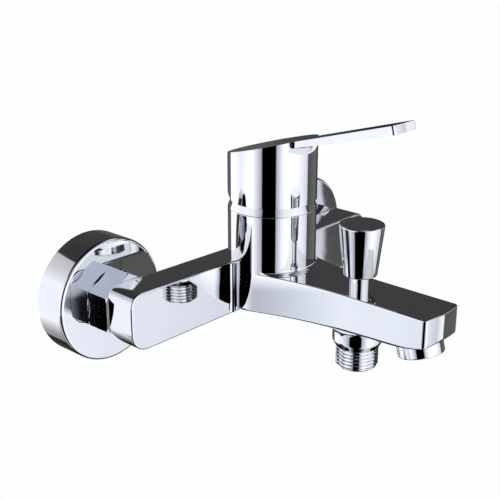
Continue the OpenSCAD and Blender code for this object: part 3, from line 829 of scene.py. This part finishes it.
def aerator_housing():
    """Sleeve of the aerator: a thin skirt inside the spout and a wider rim below it."""
    mouth_r, inner_r, skirt_r, rim_r = 7.9, 8.6, 9.95, 11
    inside, joint, ledge, tip = -6, 1.05, 6.6, 8
    corners = [(inner_r, inside, 0), (skirt_r, inside, 0), (skirt_r, joint, 0), (rim_r, joint, 0.25),
               (rim_r, tip, 0.6), (mouth_r, tip, 0.4), (mouth_r, ledge, 0), (inner_r, ledge, 0)]
    piece = lathe("aerator_housing_turned", rounded_loop(corners), AT_AERATOR)
    finish_piece(piece, "mixer", "polished_chrome", "aerator_housing")


# ---------- studio ----------

def studio_floor():
    """Plain pale floor. Chrome sees the studio's dark lower side in place of it."""
    level = -0.35
    bpy.ops.mesh.primitive_plane_add(size=60, location=(0, 0, level))
    floor = bpy.context.object
    floor.name = "floor"
    material, principled = shader("floor", 0, 0.9)
    drift = noise(material, 0.6, 2)
    colour_between(material, drift.outputs["Fac"], (0.90, 0.90, 0.90), (0.92, 0.92, 0.92),
                   principled.inputs["Base Color"])
    principled.inputs["Emission Color"].default_value = (1, 1, 1, 1)
    principled.inputs["Emission Strength"].default_value = 0.78
    floor.data.materials.append(material)
    floor.visible_glossy = False


def world_math(tree, operation, *values):
    """A sum on numbers or sockets."""
    node = tree.nodes.new("ShaderNodeMath")
    node.operation = operation
    for socket, value in zip(node.inputs, values):
        if isinstance(value, (int, float)):
            socket.default_value = value
        else:
            tree.links.new(value, socket)
    return node.outputs["Value"]


def world_range(tree, value, from_low, from_high, to_low, to_high):
    """Maps a value from one range to another and stops at both ends."""
    node = tree.nodes.new("ShaderNodeMapRange")
    limits = {"From Min": from_low, "From Max": from_high, "To Min": to_low, "To Max": to_high}
    for name, number in limits.items():
        node.inputs[name].default_value = number
    tree.links.new(value, node.inputs["Value"])
    return node.outputs["Result"]


def world_ramp(tree, factor, stops):
    """A colour ramp over a 0 to 1 factor, from (position, grey or colour) stops."""
    node = tree.nodes.new("ShaderNodeValToRGB")
    elements = node.color_ramp.elements
    while len(elements) < len(stops):
        elements.new(0.5)
    for element, (position, colour) in zip(elements, stops):
        element.position = position
        element.color = (*colour, 1) if isinstance(colour, tuple) else (colour, colour, colour, 1)
    tree.links.new(factor, node.inputs["Fac"])
    return node.outputs["Color"]


def around(*stops):
    """Ramp stops given in degrees to the right of the camera's own side."""
    return [(degrees / 360 + 0.5, colour) for degrees, colour in stops]


def upwards(*stops):
    """Ramp stops given in degrees above the horizon."""
    return [(math.sin(math.radians(degrees)) / 2 + 0.5, colour) for degrees, colour in stops]


def world_mix(tree, factor, a, b, blend="MIX"):
    """Blends colour b over colour a."""
    mix = tree.nodes.new("ShaderNodeMix")
    mix.data_type = "RGBA"
    mix.blend_type = blend
    for name, value in (("Factor", factor), ("A", a), ("B", b)):
        if isinstance(value, (int, float, tuple)):
            mix.inputs[name].default_value = value
        else:
            tree.links.new(value, mix.inputs[name])
    return mix.outputs["Result"]


def dimmed(tree, colour, shade):
    """A colour multiplied by another one."""
    return world_mix(tree, 1.0, colour, shade, "MULTIPLY")


def studio_direction(tree, camera_side):
    """Where a ray looks.

    Returns the angle round from the camera's side in radians, the same as a 0 to 1 turn, the upward
    part of the direction from -1 to 1, and the same as a 0 to 1 height.
    """
    coordinates = tree.nodes.new("ShaderNodeTexCoord")
    camera_right = Vector((-camera_side.y, camera_side.x, 0))
    parts = []
    for axis in (camera_side, camera_right, Vector((0, 0, 1))):
        dot = tree.nodes.new("ShaderNodeVectorMath")
        dot.operation = "DOT_PRODUCT"
        dot.inputs[1].default_value = axis
        tree.links.new(coordinates.outputs["Generated"], dot.inputs[0])
        parts.append(dot.outputs["Value"])
    toward, right, up = parts
    azimuth = world_math(tree, "ARCTAN2", right, toward)
    height = world_math(tree, "MULTIPLY_ADD", up, 0.5, 0.5)
    turn = world_math(tree, "MULTIPLY_ADD", azimuth, 1 / (2 * math.pi), 0.5)
    return azimuth, turn, up, height


def lit_walls(tree, azimuth, turn, up, height):
    """White walls left and right of the camera, with a black flag between them at the camera."""
    walls = world_ramp(tree, turn, around(
        (-134, 0.96), (-110, 0.96), (-88, (0.80, 0.83, 0.93)), (-72, (0.92, 0.94, 0.98)), (-50, 1.0),
        (60, 1.0), (80, (0.80, 0.83, 0.90)), (90, (0.70, 0.73, 0.81)), (98.5, (0.56, 0.58, 0.64)),
        (103, 0.85), (130, (0.74, 0.75, 0.86))))
    # The flag grows wider towards the floor.
    narrowed = world_math(tree, "MULTIPLY", azimuth, world_range(tree, up, -0.375, -0.357, 0.64, 1))
    flag = world_ramp(tree, world_math(tree, "MULTIPLY_ADD", narrowed, 1 / (2 * math.pi), 0.5), around(
        (-54, 1.0), (-44, (0.72, 0.75, 0.82)), (-29, (0.34, 0.36, 0.41)), (-27, 0.0), (7, 0.0),
        (8.6, (0.36, 0.38, 0.43)), (22, (0.80, 0.84, 0.92)), (32, 1.0)))
    fade = world_ramp(tree, height, upwards(
        (-78, 0.0), (-70, 0.75), (-30, 0.97), (-20, 1.0), (14, 1.0), (30, 0.62), (38, 0.5)))
    return dimmed(tree, dimmed(tree, walls, flag), fade)


def left_gap(tree, front, turn, up, height):
    """Darkens the left wall low down: a gap that leans away, and past it a fade towards the floor."""
    leaning = world_math(tree, "MULTIPLY_ADD", up, -40 / 360, turn)
    gap = world_math(tree, "MULTIPLY",
                     world_ramp(tree, leaning, around((-77.5, 0.0), (-75.5, 1.0), (-57, 1.0), (-54, 0.0))),
                     world_ramp(tree, height, upwards((-80, 0.0), (-70, 1.0), (-29, 1.0), (-27, 0.0))))
    front = world_mix(tree, gap, front, (0.0, 0.0, 0.0, 1))
    faded = dimmed(tree, front, world_ramp(tree, height, upwards((-48, 0.05), (-42, 0.3), (-30, 1.0))))
    return world_mix(tree, world_range(tree, turn, 0.5 - 97 / 360, 0.5 - 93 / 360, 1, 0), front, faded)


def dark_side(tree, turn, height):
    """The dim room behind the object, with a faint glow higher up."""
    behind = world_ramp(tree, turn, around(
        (-180, 0.085), (-134, 0.10), (99, 0.07), (131, 0.12), (144, 0.11), (152, 0.02), (174, 0.02),
        (180, 0.07)))
    fade = world_ramp(tree, height, upwards((-46, 0.0), (-30, 0.9), (-20, 1.0), (4, 1.0), (12, 0.0)))
    glow = world_ramp(tree, height, upwards((4, 0.0), (14, 0.047), (40, 0.038)))
    return world_mix(tree, 1.0, dimmed(tree, behind, fade), glow, "ADD")


def past_walls(tree, azimuth, turn, up):
    """1 in the directions where the white walls have ended, 0 in front of them.

    The right wall reaches further round below, and in a band that slopes down along the horizon.
    """
    sloping = world_math(tree, "MULTIPLY_ADD", azimuth, 0.24, up)
    band = world_math(tree, "ADD", world_range(tree, up, -0.12, -0.10, 0.5, 0.5 + 32 / 360),
                      world_range(tree, sloping, 0.521, 0.531, 0, -32 / 360))
    wall_end = world_math(tree, "ADD", world_range(tree, up, -0.356, -0.3535, 106.8 / 360, 99.3 / 360), band)
    past_right = world_range(tree, world_math(tree, "SUBTRACT", turn, wall_end), -0.0004, 0.0004, 0, 1)
    past_left = world_range(tree, turn, 0.5 - 134.2 / 360, 0.5 - 133.8 / 360, 1, 0)
    return world_math(tree, "MAXIMUM", past_right, past_left)


def ceiling(tree, turn, height):
    """Pale on the right of the camera, dark elsewhere, and darker towards the top."""
    around_it = world_ramp(tree, turn, around(
        (-165, 0.035), (-60, 0.035), (-20, (0.15, 0.16, 0.20)), (20, (0.42, 0.45, 0.55)),
        (90, (0.48, 0.51, 0.62)), (102, 0.55), (108, 0.86), (128, 0.86), (138, 0.035)))
    return dimmed(tree, around_it, world_ramp(tree, height, upwards((38, 1.0), (48, 0.9), (60, 0.12),
                                                                     (76, 0.01))))


def studio_light(camera_side):
    """A soft studio seen in the chrome, as a colour for each direction. The camera itself sees white."""
    world = bpy.data.worlds.new("studio")
    bpy.context.scene.world = world
    world.use_nodes = True
    tree = world.node_tree
    tree.nodes.clear()
    azimuth, turn, up, height = studio_direction(tree, camera_side)
    front = left_gap(tree, lit_walls(tree, azimuth, turn, up, height), turn, up, height)
    room = world_mix(tree, past_walls(tree, azimuth, turn, up), front, dark_side(tree, turn, height))
    above = world_range(tree, up, 0.622, 0.632, 0, 1)
    room = world_mix(tree, above, room, ceiling(tree, turn, height))

    path = tree.nodes.new("ShaderNodeLightPath")
    seen = world_mix(tree, path.outputs["Is Camera Ray"], room, (1.0, 1.0, 1.0, 1))
    background = tree.nodes.new("ShaderNodeBackground")
    background.inputs["Strength"].default_value = 1.12
    tree.links.new(seen, background.inputs["Color"])
    output = tree.nodes.new("ShaderNodeOutputWorld")
    tree.links.new(background.outputs["Background"], output.inputs["Surface"])


def photo_camera():
    """The photo's view."""
    look_down, heading = math.radians(19.65), math.radians(-47.38)
    data = bpy.data.cameras.new("camera")
    data.lens = 70.88
    data.sensor_width = 36
    data.clip_start = 0.01
    data.clip_end = 100
    camera = bpy.data.objects.new("camera", data)
    camera.location = (-0.35939, -0.3719, 0.18022)
    camera.rotation_euler = (math.pi / 2 - look_down, 0, heading)
    bpy.context.scene.collection.objects.link(camera)
    bpy.context.scene.camera = camera


dress_cad_nodes()
valve_body()
handle_shell()
cover_ring()
diverter_knob()
diverter_gland()
shower_nipple()
aerator_housing()
for inlet_side in (-1, 1):
    escutcheon(inlet_side)
    coupling_nut(inlet_side)
    eccentric_union(inlet_side)

photo_camera()
studio_light(CAMERA_SIDE)
studio_floor()
bpy.context.scene.view_settings.view_transform = "Standard"
